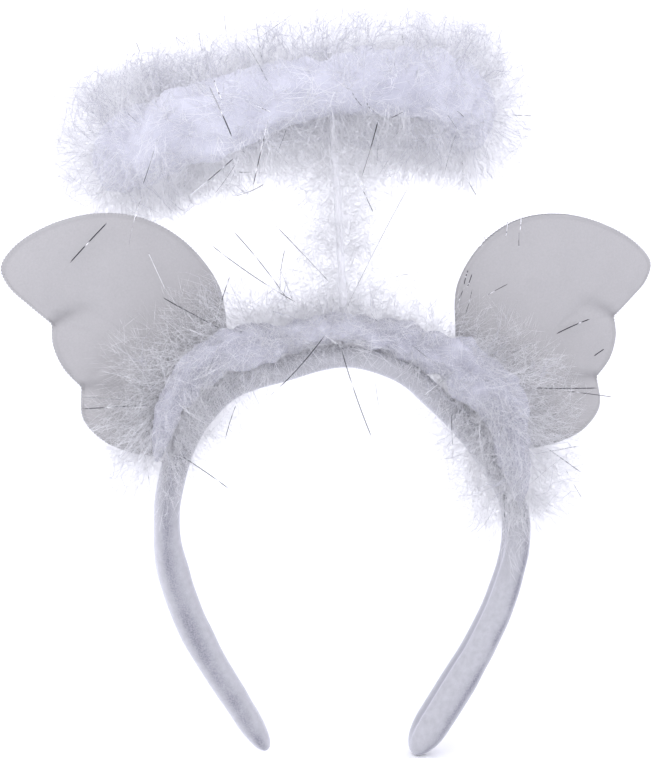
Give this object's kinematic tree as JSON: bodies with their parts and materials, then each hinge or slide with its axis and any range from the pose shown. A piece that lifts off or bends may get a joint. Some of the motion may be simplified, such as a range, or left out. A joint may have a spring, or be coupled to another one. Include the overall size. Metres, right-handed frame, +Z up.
{
  "type": "halo headband",
  "caption": "Padded horseshoe headband with two puffed scalloped wings, a feather trim and a feather halo ring on a short upright stem.",
  "frame": {"origin": "crown seat: the middle of the strip's underside at the top of the head opening", "axes": "+Z up out of the crown, +X to the wearer's left as seen from the front (to the right in the picture), the front faces -Y"},
  "size_m": [0.2508, 0.1844, 0.2751],
  "materials": {
    "velvet": "short-pile white velvet over padding, with a lilac-grey shade",
    "wing_felt": "brushed off-white felt with a turned, overcast edge",
    "feather": "soft marabou feather barbs, cool white",
    "wire": "plain drawn wire",
    "tinsel": "thin metallised film strands"
  },
  "bodies": {
    "root": {"headband": "velvet", "wing_left": "wing_felt", "wing_right": "wing_felt", "trim_boa": "feather", "halo_boa": "feather", "stem_boa": "feather", "stem_wire": "wire"}
  },
  "joints": []
}
